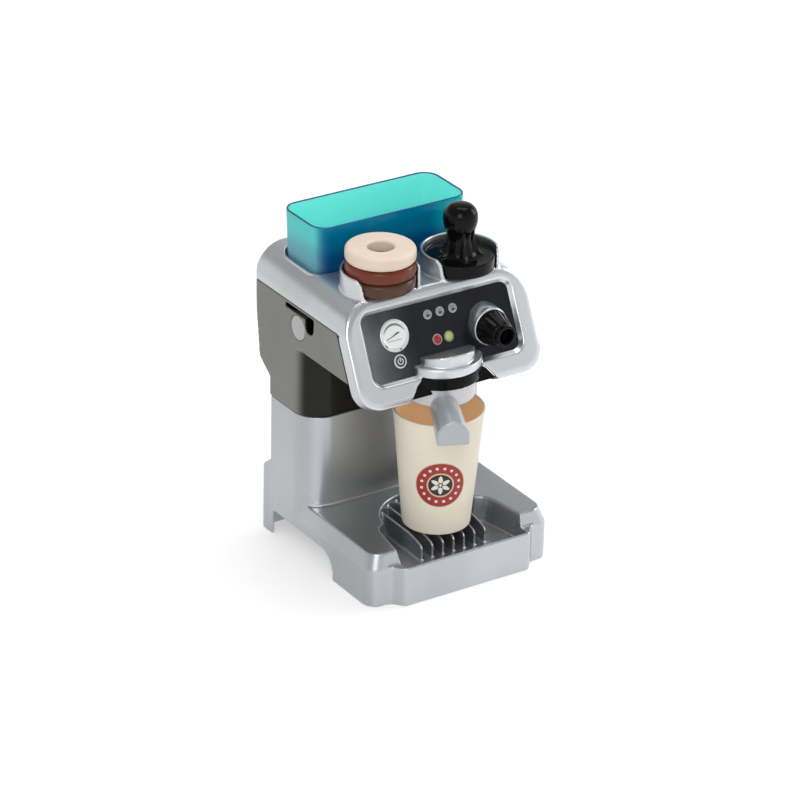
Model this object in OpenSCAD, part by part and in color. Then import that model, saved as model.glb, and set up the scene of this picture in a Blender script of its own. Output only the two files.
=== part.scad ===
// Toy coffee maker: hollow moulded machine with drip tray, cup, twist-in
// portafilter, turning knob, lift-out water tank, tamper and three coffee pads.
// Millimetres, +Z up, front towards -Y. Origin on the ground below the middle
// of the whole object (machine with its portafilter handle).

/* [Machine] */
// Width of the base, housing and cover
body_width = 172; // [168:1:178]
// Wall thickness of the mouldings
wall = 2.4; // [2.0:0.1:2.8]
// Height of the flat deck around the drip tray
deck_height = 44.4; // [42.4:0.2:45.4]
// Height of the bevel between side skirt and deck
deck_bevel = 12.9; // [8:0.5:16]
// Height at which the upper housing starts
column_seam = 124.3; // [116:0.5:134]
// Height at which the cover starts
cover_seam = 218; // [216:0.5:219]

/* [Drip tray] */
// Depth of the tray floor below the deck
tray_depth = 20.9; // [16:0.5:24]
// Number of ribs that carry the cup
rib_count = 7; // [5:2:7]
// Distance between rib centres
rib_pitch = 10.1; // [8:0.1:10.4]
// Thickness of a rib
rib_thick = 1.8; // [1.4:0.1:2.6]

/* [Cup] */
// Radius of the cup at the rim
cup_rim_radius = 36.9; // [33:0.5:38]
// Radius of the cup at the foot
cup_foot_radius = 27.5; // [24:0.5:30]
// Height of the cup
cup_height = 101.3; // [85:0.5:102]

/* [Portafilter] */
// Radius of the filter bowl
bowl_radius = 28.2; // [26.5:0.1:29]
// Length of the handle from the brew axis to its end
handle_length = 76; // [70:1:84]
// Angle of the handle to the left of straight ahead
handle_angle = 25.2; // [10:0.5:34]

/* [Top] */
// Radius of the coffee pads
pad_radius = 28.1; // [26:0.1:28.6]
// Thickness of one coffee pad
pad_thick = 11.2; // [9:0.2:12]
// Radius of the hole through the pads
pad_hole = 10.5; // [8:0.5:12]
// Radius of the tamper disc
tamper_radius = 28; // [26:0.1:28.6]
// Height of the water tank above its floor
tank_height = 56; // [50:1:64]
// Length of the knob in front of its boss
knob_length = 22; // [20:0.5:24]

/* [Hidden] */
$fn = 48;
e = 0.02;
half = body_width / 2;
gap = 0.3;

// machine plan
rear_y = 106.1;
foot_y = 94.6;
column_rear_y = 82.5;
column_front_y = 24;
post_y = -70.5;
bulge_y = -80.5;
bulge_half = 64.5;
bulge_blend = 13;
rear_r = 2.6;
post_r = 12;
lip_z = 33.6;
tray_z = deck_height - tray_depth;
rib_z = deck_height - 4.3;
skirt_z = deck_height - deck_bevel;
deck_half = half - 4.7;

// head
head_front_y = -38;
head_floor_z = 181.6;
top_z = 247;
top_slope = 2.4;
shoulder_r = 26;

// control panel frame: x across, y up the panel, z out of it
panel_tilt = 25.9;
panel_y = -20.8;
panel_z = 230.1;
rim_w = 3.2;
band_w = 9.7;
film_half = 67.9;
film_len = 54.5;
film_t = 1;

// brew group
brew_y = -32.5;
tier_z = 180;
ring_z = 170;
wing_z = 165.3;
lug_z = 173.7;
lug_t = 3.4;
lug_r = bowl_radius + 1.2;
ring_y = -29.6;
ring_r = 34;
bowl_top = 177.2;
bowl_bottom = 152.5;
collar_screw_x = 18;
collar_screw_y = brew_y + 8;

// knob
knob_x = 42;
knob_z = 204;
boss_y = -40.5;
boss_r = 15.8;
web_y = -34;

// wells
well_x = 37.2;
well_y = -0.6;
well_z = 242;
well_r = 29.3;
well_wall_t = 2.4;
well_foot_z = 244.2;
pad_z = well_z + gap;

// tank
tank_half = 70.8;
tank_y0 = 36.5;
tank_y1 = 94.1;
tank_z0 = 226.4;
tank_r = 13;
pocket_z = tank_z0 - gap;

// side plugs
plug_y = 40.9;
plug_z = 200.3;

// screws
base_screw_x = 68;
base_screw_y = [36, 70];
cover_screw_x = 76.5;
cover_screw_y = [4, 98];
web_z = 104;
silver = [0.72, 0.73, 0.74];
dark = [0.24, 0.25, 0.26];
black = [0.06, 0.06, 0.06];
steel = [0.62, 0.63, 0.65];

// ---------------------------------------------------------------- shared shapes

// rectangle with its own corner radius at the front (low y) and the rear
module plan(x, y0, y1, rf, rr) {
    translate([-x + rf, y0]) square([2 * x - 2 * rf, y1 - y0 - rr]);
    translate([-x, y0 + rf]) square([2 * x, y1 - y0 - rf - rr]);
    translate([-x + rr, y1 - rr - 1]) square([2 * x - 2 * rr, rr + 1]);
    for (s = [-1, 1]) {
        translate([s * (x - rf), y0 + rf]) circle(rf);
        translate([s * (x - rr), y1 - rr]) circle(rr);
    }
}

module slab(z0, z1) {
    translate([0, 0, z0]) linear_extrude(z1 - z0) children();
}

// children drawn in the control panel frame
module on_panel() {
    translate([0, panel_y, panel_z]) rotate([90 - panel_tilt, 0, 0]) children();
}

// children with z along -Y, at the knob axis
module on_knob(y) {
    translate([knob_x, y, knob_z]) rotate([90, 0, 0]) children();
}

module tube(r, ri, z0, z1) {
    translate([0, 0, z0]) difference() {
        cylinder(r = r, h = z1 - z0);
        translate([0, 0, -1]) cylinder(r = ri, h = z1 - z0 + 2);
    }
}

// pan head screw, shank up, head seat at z = 0
module screw(len) {
    translate([0, 0, -2.2]) difference() {
        cylinder(r = 3, h = 2.2);
        translate([-2, -0.4, -1]) cube([4, 0.8, 2]);
        translate([-0.4, -2, -1]) cube([0.8, 4, 2]);
    }
    cylinder(r = 1.5, h = len);
}

// ---------------------------------------------------------------- base housing

module base_block(t) {
    // skirt, deck with its bevel, front bulge, column and rear foot, inset by t
    slab(-t, skirt_z - t / 2) plan(half - t, post_y + t, 60, post_r - t, 4);
    hull() {
        slab(skirt_z - t / 2 - 1, skirt_z - t / 2) plan(half - t, post_y + t, 50, post_r - t, 4);
        slab(deck_height - t - 0.5, deck_height - t)
            plan(deck_half - t, post_y + 4.5 + t, 50, post_r - t, 4);
    }
    slab(-t, lip_z - t) bulge_plan(t);
    slab(-t, column_seam + (t > 0 ? 1 : 0)) column_plan(t);
    intersection() {
        translate([-half + t, 0, 0]) rotate([90, 0, 90]) linear_extrude(body_width - 2 * t) foot_side(t);
        slab(-5, 80) plan(half - t, foot_y - 60, foot_y - t, 4, 4 - t / 2);
    }
}

// front bulge, its ends flow into the corner posts
module bulge_plan(t) {
    depth = post_y - bulge_y;
    x0 = bulge_half - 8 - t;
    right = [for (i = [0:10])
        [x0 + bulge_blend * i / 10, post_y + t - depth * (1 + cos(18 * i)) / 2]];
    left = [for (i = [10:-1:0]) [-right[i][0], right[i][1]]];
    polygon(concat(right, [[x0, bulge_y + 40], [-x0, bulge_y + 40]], left));
}

// side outline of the rear foot, x is the machine's y
module foot_side(t) {
    polygon([[foot_y - 40, -t], [foot_y - t, -t], [foot_y - t, 50 - t], [foot_y - 0.5 - t, 54 - t],
        [foot_y - 1.8 - t, 57 - t], [foot_y - 4 - t, 59.4 - t], [foot_y - 8.4 - t, 63.1 - t],
        [foot_y - 12.2 - t, 65.6 - t], [foot_y - 40, 65.6 - t]]);
}

module column_plan(t) {
    plan(half - t, column_front_y + t, column_rear_y - t, 22 - t, max(2.8 - t, 0.4));
}

// open volume of the tray, grown by t: a round well that flares to the front lip
module tray_space(t) {
    hull() {
        slab(tray_z - t, tray_z - t + 0.1) translate([0, brew_y]) circle(r = 42 + t, $fn = 72);
        slab(deck_height, deck_height + 1) translate([0, brew_y]) circle(r = 44.8 + t, $fn = 72);
    }
    hull() {
        slab(tray_z - t, tray_z - t + 0.1) tray_flare(4.6, 1.2, t);
        slab(deck_height, deck_height + 1) tray_flare(0, 0, t);
    }
}

// outline of the flare: half widths from the lip to the round well, drawn in by dx
module tray_flare(dx, back, t) {
    y0 = bulge_y + wall;
    w = [[58.8, back], [59.8, back + 1.4], [60.2, 5], [59.4, 11], [57.8, 19], [56.4, 27],
        [55.2, 35], [54, 42], [52.4, 47.5], [50, 51.4], [46.6, 54], [42, 55.4]];
    right = [for (q = w) [q[0] - dx + t, y0 + q[1] + (q[1] > 40 ? t : q[1] < 3 ? -t : 0)]];
    polygon(concat(right, [for (i = [len(w) - 1:-1:0]) [-right[i][0], right[i][1]]]));
}

module ribs() {
    intersection() {
        for (i = [0:rib_count - 1])
            translate([(i - (rib_count - 1) / 2) * rib_pitch - rib_thick / 2, 0, 0])
                rotate([90, 0, 90]) linear_extrude(rib_thick) rib_side();
        slab(0, deck_height) union() {
            translate([0, brew_y]) circle(r = 44.5);
            translate([-40, -60]) square([80, 30]);
        }
    }
}

// side outline of a rib, x is the machine's y
module rib_side() {
    polygon([[-59.4, tray_z - 1], [-59.4, rib_z - 7.6], [-58.6, rib_z - 5.2], [-56.8, rib_z - 3.6],
        [-51, rib_z - 2], [-44, rib_z - 0.5], [-41, rib_z], [15, rib_z], [15, tray_z - 1]]);
}

module side_arches() {
    translate([-half - 5, 0, 0]) rotate([90, 0, 90]) linear_extrude(body_width + 10) union() {
        translate([3, -1]) square([70.5, 22.7]);
        translate([3, -1]) square([74.5, 18.7]);
        translate([73.5, 17.7]) circle(4);
        translate([-14, -1]) square([20, 9.7]);
        intersection() {
            translate([3, 4.7]) circle(17);
            translate([-20, 4]) square([24, 20]);
        }
    }
}

module base_housing() color(silver) {
    difference() {
        union() {
            difference() {
                base_block(0);
                difference() {
                    base_block(wall);
                    tray_space(wall);
                    slab(web_z, web_z + wall) column_plan(0);
                    base_tubes();
                }
                tray_space(0);
                side_arches();
            }
            ribs();
        }
        for (s = [-1, 1], y = base_screw_y) translate([s * base_screw_x, y, 0]) {
            translate([0, 0, web_z - 20]) cylinder(r = 1.7, h = 40);
            translate([0, 0, web_z - 20]) cylinder(r = 3.6, h = 20);
        }
        slab(-1, 0) square(400, center = true);
    }
}

module base_tubes() {
    for (s = [-1, 1], y = base_screw_y) translate([s * base_screw_x, y, web_z - 12])
        cylinder(r = 5.4, h = 13);
}

// ---------------------------------------------------------------- upper housing

// side outlines of the rear half with the neck, and of the head in front; x is the machine's y
module neck_side(t) {
    polygon([[column_front_y - 10, column_seam - t], [column_rear_y - t, column_seam - t],
        [column_rear_y + 0.3 - t, 139.6], [column_rear_y + 1.2 - t, 141.4],
        [rear_y - 15 - t, 146.5], [rear_y - 8 - t, 152], [rear_y - 6.9 - t, 153.6],
        [rear_y - 5.2 - t, 168.5], [rear_y - 2.6 - t, 187.2], [rear_y - t, 216],
        [rear_y - t, cover_seam + t], [column_front_y - 10, cover_seam + t]]);
}

module head_side(t) {
    polygon([[head_front_y + 2.5, head_floor_z + t], [60, head_floor_z + t],
        [60, cover_seam + t], [-16, cover_seam + t], [-19, cover_seam - 2], [-31, 193.6]]);
}

module side_extrude() {
    translate([-half - 1, 0, 0]) rotate([90, 0, 90]) linear_extrude(body_width + 2) children();
}

module housing_block(t) {
    intersection() {
        side_extrude() neck_side(t);
        slab(100, 250) plan(half - t, column_front_y + t, rear_y - t, 22 - t, rear_r - t);
    }
    intersection() {
        side_extrude() head_side(t);
        slab(100, 250) plan(half - t, -60, 80, 4, 4);
    }
}

module upper_housing() color(dark) {
    difference() {
        union() {
            difference() {
                housing_block(0);
                housing_block(wall);
                translate([-half + wall, -70, 186]) cube([body_width - 2 * wall, 60, 60]);
            }
            // lip that enters the base
            slab(column_seam - 6, column_seam + 3) difference() {
                column_plan(wall + 0.15);
                column_plan(wall + 1.9);
            }
            slab(column_seam + 0.4, column_seam + 3) difference() {
                column_plan(wall - 0.4);
                column_plan(wall + 1.9);
            }
            // screw posts with a web to the side wall
            for (s = [-1, 1], y = base_screw_y) translate([s * base_screw_x, y, 0])
                tube(4, 1.52, web_z + wall + 0.1, column_seam + 22);
            intersection() {
                slab(column_seam + 0.4, column_seam + 22) column_plan(wall / 2);
                for (s = [-1, 1], y = base_screw_y) translate([s * (base_screw_x + 10), y, 136])
                    cube([14, 2, 30], center = true);
            }
            // shelves under the cover posts
            intersection() {
                slab(198, 200.4) plan(half - wall / 2, -40, rear_y - wall / 2, 4, 2);
                for (s = [-1, 1], y = cover_screw_y) translate([s * (cover_screw_x + 2), y, 199])
                    cube([16, 12, 10], center = true);
            }
            // bosses for the collar screws
            for (s = [-1, 1]) translate([s * collar_screw_x, collar_screw_y, 0])
                tube(3.6, 1.52, head_floor_z + 1, head_floor_z + 10);
            // wells around the side plugs
            for (s = [-1, 1]) translate([s * half, plug_y, plug_z]) rotate([0, -s * 90, 0])
                translate([0, 0, 1]) cylinder(r = 14, h = 5.6);
        }
        for (s = [-1, 1], y = cover_screw_y) translate([s * cover_screw_x, y, 190])
            cylinder(r = 1.7, h = 20);
        for (s = [-1, 1]) translate([s * collar_screw_x, collar_screw_y, 170])
            cylinder(r = 1.52, h = 30);
        // room for the front frame of the cover
        on_panel() translate([-100, -100, -band_w - 0.1]) cube([200, 200, 60]);
        // window and seat of each side plug
        for (s = [-1, 1]) translate([s * half, 0, 0]) rotate([0, -s * 90, 0]) {
            translate([plug_z * s, plug_y, -1]) linear_extrude(4.1) circle(10.15);
            translate([plug_z * s, plug_y, -1]) side_slots(s);
            translate([plug_z * s, plug_y, -1]) cylinder(r = 4.02, h = 12);
        }
    }
}

// slots above and in front of a side plug: x is up for m > 0 and down for m < 0
module side_slots(m) {
    linear_extrude(12) mirror([m > 0 ? 0 : 1, 0]) {
        translate([11.4, -22.3]) square([4.2, 40.7]);
        translate([6.4, -22.3]) square([6, 11.4]);
        translate([6.4, -16.6]) circle(5.7);
    }
}

module side_plugs() color(silver) {
    for (s = [-1, 1]) translate([s * half, plug_y, plug_z]) rotate([0, -s * 90, 0]) {
        cylinder(r = 10, h = 3);
        cylinder(r = 4, h = 8);
    }
}

module base_screws() color(steel) {
    for (s = [-1, 1], y = base_screw_y) translate([s * base_screw_x, y, web_z - e]) screw(14);
}

module cover_screws() color(steel) {
    for (s = [-1, 1], y = cover_screw_y) translate([s * cover_screw_x, y, 198 - e]) screw(12);
}

// ---------------------------------------------------------------- top cover

function arc(cx, cy, r, a0, a1, n) =
    [for (i = [0:n]) let (a = a0 + (a1 - a0) * i / n) [cx + r * cos(a), cy + r * sin(a)]];

module shoulder_profile(t) {
    r = shoulder_r - t;
    c = half - shoulder_r;
    polygon(concat([[half - t, -70]], arc(c, -r, r, 0, 90, 18), arc(-c, -r, r, 90, 180, 18),
        [[-half + t, -70]]));
}

// the top and its shoulders, sloping down to the front
module shoulders(t) {
    intersection() {
        translate([0, rear_y + 2, top_z - t]) rotate([90 + top_slope, 0, 0])
            linear_extrude(180) shoulder_profile(t);
        slab(cover_seam - (t > 0 ? 1 : 0), 260) plan(half - t, -90, rear_y - t, 4, rear_r - t);
        on_panel() translate([-100, -150, -300]) cube([200, 300, 301.5 - t]);
    }
}

// the front frame around the control panel, in the panel frame
module bezel(t) {
    on_panel() hull() {
        translate([0, -74 + t, -band_w - t]) bezel_slice(half - t, band_w + 1.6);
        translate([0, -74 + 1.6 + t, -band_w]) bezel_slice(half - 1.4 - t, band_w + rim_w - 0.7 - t);
        translate([0, -74 + 4.6 + t, -band_w]) bezel_slice(half - 4.4 - t, band_w + rim_w - t);
    }
}

module bezel_slice(x, h) {
    i = half - x;
    rl = 20 - i;
    rh = 29 - i;
    linear_extrude(h) polygon(concat(arc(x - rl, rl, rl, -90, 0, 12),
        arc(x - rh, 86 - 2 * i - rh, rh, 0, 90, 18), arc(-x + rh, 86 - 2 * i - rh, rh, 90, 180, 18),
        arc(-x + rl, rl, rl, 180, 270, 12)));
}

module film_plan(t) {
    translate([0, -film_len]) plan(film_half + t, -t, film_len + t, 7 + t, 7 + t);
}

// opening in the rim above the film
module film_opening() {
    on_panel() hull() {
        slab(0, 0.1) film_plan(0.4);
        slab(rim_w + 0.5, rim_w + 1) film_plan(3.8);
    }
}

// two steps of the brew group, grown inwards by t
module tiers(t) {
    intersection() {
        union() {
            difference() {
                intersection() {
                    translate([0, -35.2, tier_z - e]) cylinder(r = 25.6 - t, h = 17.5 - t, $fn = 96);
                    tier_sides(23.6 - t);
                }
                translate([-20, -80.03 + t, tier_z - 1]) cube([40, 20, 40]);
                translate([0, -60, 197.5 - t]) rotate([-14, 0, 0]) translate([-40, 0, 0])
                    cube([80, 60, 20]);
            }
            intersection() {
                translate([0, ring_y, tier_z - e]) cylinder(r = ring_r + 0.3 - t, h = 7.5 - t, $fn = 120);
                tier_sides(30.2 - t);
            }
        }
        on_panel() translate([-100, -100, -band_w + 4 - 4 * t]) cube([200, 200, 80]);
    }
}

module tier_sides(x) {
    translate([-x, -80, tier_z - 1]) cube([2 * x, 80, 30]);
}

// outline of the notch for the collar in the panel frame, drawn in by t
module collar_notch(t) {
    polygon([for (m = [1, -1], p = m > 0 ? notch_points() : reverse_points())
        [m * (p[0] - t), p[1]]]);
}

// right half of the notch outline in the panel frame, from the bottom up
function notch_points() = [[43, -76], [40, -72.4], [35.8, -66.9], [32.9, -62.8], [28.2, -59.4],
    [24, -55.6]];
function reverse_points() = [for (i = [5:-1:0]) notch_points()[i]];

// ring wall behind a well from z0 to z1, its two ends rounded down to the deck
module well_wall(x, z0, z1) {
    intersection() {
        slab(z0, z1) translate([x - 40, well_y - 40]) square(80);
        translate([x, well_y, well_z - 0.5]) well_ring();
        translate([x - 40, 0, 0]) rotate([90, 0, 90]) linear_extrude(80) wall_side();
    }
}

module well_ring() {
    rotate_extrude($fn = 96) union() {
        translate([well_r, 0]) square([well_wall_t, 15.2]);
        translate([well_r + well_wall_t / 2, 15.2]) circle(r = well_wall_t / 2, $fn = 24);
    }
}

// side outline of the ring walls, x is the machine's y
module wall_side() {
    polygon([[36, 240], [36, 259], [-8.2, 259], [-10.2, 258.4], [-12, 257.2], [-13.6, 255.6],
        [-14.8, 253.6], [-15.6, 251.2], [-16.2, 248.4], [-16.8, 245.6], [-17.6, 243.6],
        [-18.8, 242.4], [-20.6, 241.6], [-20.6, 240]]);
}

module top_cover() color(silver) {
    difference() {
        union() {
            difference() {
                shell();
                film_opening();
                on_panel() slab(-film_t, 20) film_plan(0.12);
                on_panel() translate([0, 0, -band_w - 10]) linear_extrude(30) collar_notch(0);
                translate([0, ring_y, ring_z - 1])
                    cylinder(r = ring_r + 0.15, h = tier_z - ring_z + 1, $fn = 120);
                slab(cover_seam - 60, cover_seam) translate([-100, -12]) square([200, 140]);
            }
            difference() {
                tiers(0);
                tiers(wall);
            }
            knob_boss();
            for (s = [-1, 1]) well_wall(s * well_x, well_z - 1, well_foot_z);
            pocket();
            posts();
        }
        for (s = [-1, 1]) translate([s * well_x, well_y, well_z]) cylinder(r = well_r, h = 20, $fn = 96);
        slab(pocket_z, 260) tank_pocket_plan(0);
        // bore and socket of the knob
        on_knob(web_y + 10) cylinder(r = 5.06, h = 40);
        on_knob(web_y) cylinder(r = 13.4, h = 30);
        for (s = [-1, 1], y = cover_screw_y) translate([s * cover_screw_x, y, 200])
            cylinder(r = 1.52, h = 14);
    }
}

// upper part of the two ring walls, standing on the cover
module well_walls() color(silver) {
    for (s = [-1, 1]) well_wall(s * well_x, well_foot_z, 260);
}

// shoulders and front frame, hollow, with the floors of wells, pocket and film
module shell() {
    difference() {
        union() {
            shoulders(0);
            bezel(0);
        }
        difference() {
            union() {
                shoulders(wall);
                bezel(wall);
            }
            on_panel() slab(-film_t - 2, 10) film_plan(6);
        }
    }
}

module knob_boss() {
    difference() {
        on_knob(boss_y) {
            translate([0, 0, -20]) cylinder(r = boss_r, h = 15);
            translate([0, 0, -5 - e]) cylinder(r1 = boss_r, r2 = boss_r - 0.6, h = 5 + e);
        }
        on_knob(web_y + wall + 20) cylinder(r = 13.6, h = 20);
    }
}

module tank_pocket_plan(t) {
    plan(tank_half + gap + t, tank_y0 - gap - t, tank_y1 + gap + t, tank_r + t, tank_r + t);
}

module pocket() {
    slab(pocket_z - wall, 243) tank_pocket_plan(wall);
}

module posts() {
    for (s = [-1, 1], y = cover_screw_y) translate([s * cover_screw_x, y, 200.5])
        cylinder(r = 3.6, h = 24);
    intersection() {
        shoulders(wall / 2);
        for (s = [-1, 1], y = cover_screw_y) translate([s * cover_screw_x, y, 220])
            cylinder(r = 3.6, h = 24);
    }
}

module control_panel() color(black) {
    difference() {
        on_panel() slab(-film_t, 0) film_plan(0);
        tiers(-0.12);
        translate([0, ring_y, tier_z - 20]) cylinder(r = ring_r + 0.5, h = 20.1, $fn = 120);
        on_knob(boss_y + 30) cylinder(r = boss_r + 0.12, h = 60);
    }
}

// ---------------------------------------------------------------- brew group

module group_collar() color(black) {
    difference() {
        union() {
            // plate in the notch of the frame
            intersection() {
                on_panel() translate([0, 0, -band_w + 2]) linear_extrude(band_w - 1.2) collar_notch(0.15);
                slab(wing_z, tier_z - 0.1) square(300, center = true);
            }
            // ring below the tiers
            translate([0, ring_y, ring_z]) cylinder(r = ring_r, h = tier_z - 0.1 - ring_z, $fn = 120);
            translate([0, ring_y, ring_z]) intersection() {
                cylinder(r = ring_r, h = head_floor_z - 0.1 - ring_z, $fn = 120);
                translate([-40, 4, 0]) cube([80, 40, 20]);
            }
        }
        // mouth, groove and entries for the lugs of the filter bowl
        translate([0, brew_y, 160]) cylinder(r = bowl_radius + gap, h = bowl_top + 0.6 - 160, $fn = 96);
        translate([0, brew_y, lug_z - gap]) cylinder(r = lug_r + gap, h = lug_t + 2 * gap, $fn = 96);
        slab(160, lug_z + 1) intersection() {
            translate([0, brew_y]) circle(r = lug_r + gap + 0.1, $fn = 96);
            translate([-50, brew_y - 6.6]) square([100, 13.2]);
        }
        for (s = [-1, 1]) translate([s * collar_screw_x, collar_screw_y, 170])
            cylinder(r = 1.7, h = 30);
    }
}

module collar_screws() color(steel) {
    for (s = [-1, 1]) translate([s * collar_screw_x, collar_screw_y, bowl_top + 0.6 - e])
        screw(12);
}

// children drawn with the handle towards -Y, turned to their place
module at_handle() {
    translate([0, brew_y, 0]) rotate([0, 0, -handle_angle]) children();
}

module portafilter_basket() color([0.82, 0.82, 0.81]) {
    r = bowl_radius;
    at_handle() difference() {
        union() {
            rotate_extrude($fn = 96) polygon([[0, bowl_bottom], [r - 2.6, bowl_bottom],
                [r - 1.2, bowl_bottom + 0.5], [r - 0.3, bowl_bottom + 1.5], [r, bowl_bottom + 3],
                [r, bowl_top - 0.3], [r - 0.3, bowl_top], [r - 1.7, bowl_top],
                [r - 2, bowl_top - 0.4], [r - 2.2, bowl_bottom + 3], [r - 3.2, bowl_bottom + 2],
                [0, bowl_bottom + 2]]);
            // bayonet lugs
            intersection() {
                translate([0, 0, lug_z]) cylinder(r = lug_r, h = lug_t, $fn = 96);
                difference() {
                    rotate([0, 0, 45]) translate([-40, -5, 160]) cube([80, 10, 30]);
                    translate([0, 0, 150]) cylinder(r = r - 1, h = 40);
                }
            }
            // boss of the handle screw
            translate([0, -r + 7, 158]) rotate([90, 0, 0]) cylinder(r = 4, h = 5.6);
        }
        translate([0, -r + 12, 158]) rotate([90, 0, 0]) cylinder(r = 1.7, h = 20);
    }
}

module handle_slice(x, z0, z1) {
    rotate([90, 0, 0]) linear_extrude(0.5) {
        translate([-x + 2, z0]) square([2 * x - 4, 4]);
        translate([-x, z0 + 2]) square([2 * x, z1 - z0 - x * 0.7]);
        translate([-x + 2, z0 + 2]) circle(2);
        translate([x - 2, z0 + 2]) circle(2);
        intersection() {
            translate([0, z1 - x * 1.02]) scale([1, 1.02]) circle(x);
            translate([-x, z0 + 1]) square([2 * x, 30]);
        }
    }
}

module portafilter_handle() color([0.62, 0.64, 0.67]) {
    at_handle() difference() {
        hull() {
            translate([0, -20, 0]) handle_slice(11.4, 152.6, 164.4);
            translate([0, -handle_length + 5, 0]) handle_slice(12.6, 144.6, 164.7);
            translate([0, -handle_length + 2, 0]) handle_slice(12.2, 145, 164.4);
            translate([0, -handle_length + 0.5, 0]) handle_slice(11, 146.2, 163.4);
        }
        translate([0, 0, 140]) cylinder(r = bowl_radius + 0.05, h = 40, $fn = 96);
        translate([0, -20, 158]) rotate([90, 0, 0]) cylinder(r = 1.52, h = 26);
    }
}

module handle_screw() color(steel) {
    at_handle() translate([0, -bowl_radius + 7 + e, 158]) rotate([90, 0, 0]) screw(22);
}

// ---------------------------------------------------------------- knob

module steam_knob() color(black) {
    on_knob(0) difference() {
        union() {
            rotate_extrude($fn = 64) polygon(knob_profile());
            translate([0, 0, -web_y - 12]) cylinder(r = 5, h = 13);
        }
        // grip flutes
        for (a = [0:30:330]) rotate([0, 0, a]) translate([17.1, 0, 43]) rotate([0, -14, 0])
            cylinder(r = 3.4, h = 15);
        // blind hole in the tip
        translate([0, 0, -boss_y + knob_length - 9]) cylinder(r = 6.4, h = 10);
        // pilot hole of the screw
        translate([0, 0, -web_y - 13]) cylinder(r = 1.52, h = 16);
    }
}

// radius and distance in front of the origin plane
function knob_profile() = let (z0 = -web_y + gap, zb = -boss_y, zt = -boss_y + knob_length) [
    [0, z0], [13, z0], [13, zb + 0.6], [14, zb + 0.6], [14.5, zb + 1.2], [14.4, zb + 2.4],
    [13.8, zb + 4.4], [12.7, zb + 7], [11.7, zb + 10], [11, zb + 13], [10.2, zt - 6.4],
    [9.3, zt - 5], [8.9, zt - 4], [8.9, zt - 0.8], [8.5, zt], [0, zt]];

module knob_washer() color(steel) {
    on_knob(0) tube(8.5, 1.6, -web_y - 13.2, -web_y - 12);
}

module knob_screw() color(steel) {
    on_knob(0) translate([0, 0, -web_y - 13.2 - e]) screw(13);
}

// ---------------------------------------------------------------- loose pieces

module tamper_base() color(black) {
    translate([well_x, well_y, pad_z]) difference() {
        union() {
            rotate_extrude($fn = 96) polygon([[0, 0], [tamper_radius - 1, 0], [tamper_radius, 1],
                [tamper_radius, 8.2], [tamper_radius - 0.6, 9.6], [tamper_radius - 2, 10.2],
                [15.6, 10.2], [14.4, 11], [13.3, 12.6], [12.2, 15], [11.2, 18], [10.7, 20.6],
                [0, 20.6]]);
            // thin ridges down the neck
            for (a = [34.5:72:330]) rotate([0, 0, a]) translate([0, 0.5, 0]) rotate([90, 0, 0])
                linear_extrude(1) polygon([[8, 9], [17, 9], [17, 10.4], [15.4, 11.4], [14, 13],
                    [12.8, 15.4], [11.8, 18.2], [11.1, 20.5], [8, 20.5]]);
        }
        translate([0, 0, 8]) cylinder(r = 4.02, h = 20);
    }
}

module tamper_knob() color(black) {
    translate([well_x, well_y, pad_z]) union() {
        rotate_extrude($fn = 64) polygon([[0, 20.7], [10.6, 20.7], [10.6, 22.6], [10.9, 25],
            [11.6, 28.5], [12.7, 32.4], [13.6, 36], [14, 39.6], [13.7, 43.2], [12.3, 47],
            [9.9, 50], [7, 52], [3.6, 53], [0, 53.2]]);
        translate([0, 0, 9]) cylinder(r = 4, h = 15);
    }
}

module pad(i, paint) {
    r = 3.4;
    color(paint) translate([-well_x, well_y, pad_z + i * (pad_thick + gap)])
        rotate_extrude($fn = 96) union() {
            translate([pad_hole, r]) square([pad_radius - pad_hole, pad_thick - 2 * r]);
            translate([pad_hole + r, 0]) square([pad_radius - pad_hole - 2 * r, pad_thick]);
            for (x = [pad_hole + r, pad_radius - r], z = [r, pad_thick - r])
                translate([x, z]) circle(r = r, $fn = 32);
        }
}

module water_tank() color([0.1, 0.55, 0.75, 0.6]) {
    translate([0, 0, tank_z0]) difference() {
        hull() {
            slab(0, 1) plan(tank_half - 2, tank_y0 + 1.5, tank_y1 - 1.5, tank_r - 1, tank_r - 1);
            slab(tank_height - 1, tank_height) plan(tank_half, tank_y0, tank_y1, tank_r, tank_r);
        }
        hull() {
            slab(2, 3) plan(tank_half - 4, tank_y0 + 3.5, tank_y1 - 3.5, tank_r - 3, tank_r - 3);
            slab(tank_height, tank_height + 1)
                plan(tank_half - 2, tank_y0 + 2, tank_y1 - 2, tank_r - 2, tank_r - 2);
        }
    }
}

module cup() color([0.87, 0.83, 0.75]) {
    rr = cup_rim_radius;
    rf = cup_foot_radius;
    h = cup_height;
    translate([0, brew_y, rib_z + gap]) rotate_extrude($fn = 96)
        polygon([[0, 0], [rf - 0.8, 0], [rf, 0.8], [rr - 0.7, h - 2.4], [rr, h - 1.6],
            [rr, h - 0.5], [rr - 0.6, h], [rr - 1.4, h], [rr - 2, h - 0.8], [rr - 2.3, h - 2.6],
            [rf - 1.6, 2.4], [rf - 2.2, 1.8], [0, 1.8]]);
}

// ---------------------------------------------------------------- pieces shown

base_housing();
upper_housing();
top_cover();
well_walls();
control_panel();
group_collar();
side_plugs();
base_screws();
cover_screws();
collar_screws();
steam_knob();
knob_washer();
knob_screw();
portafilter_basket();
portafilter_handle();
handle_screw();
tamper_base();
tamper_knob();
pad(2, [0.91, 0.84, 0.77]);  // pad_top
pad(1, [0.47, 0.25, 0.2]);  // pad_middle
pad(0, [0.31, 0.25, 0.2]);  // pad_bottom
water_tank();
cup();
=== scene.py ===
"""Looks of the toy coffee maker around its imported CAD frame. Metres, +Z up, front towards -Y."""

import math

import bmesh
import bpy
from mathutils import Matrix, Vector


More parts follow.
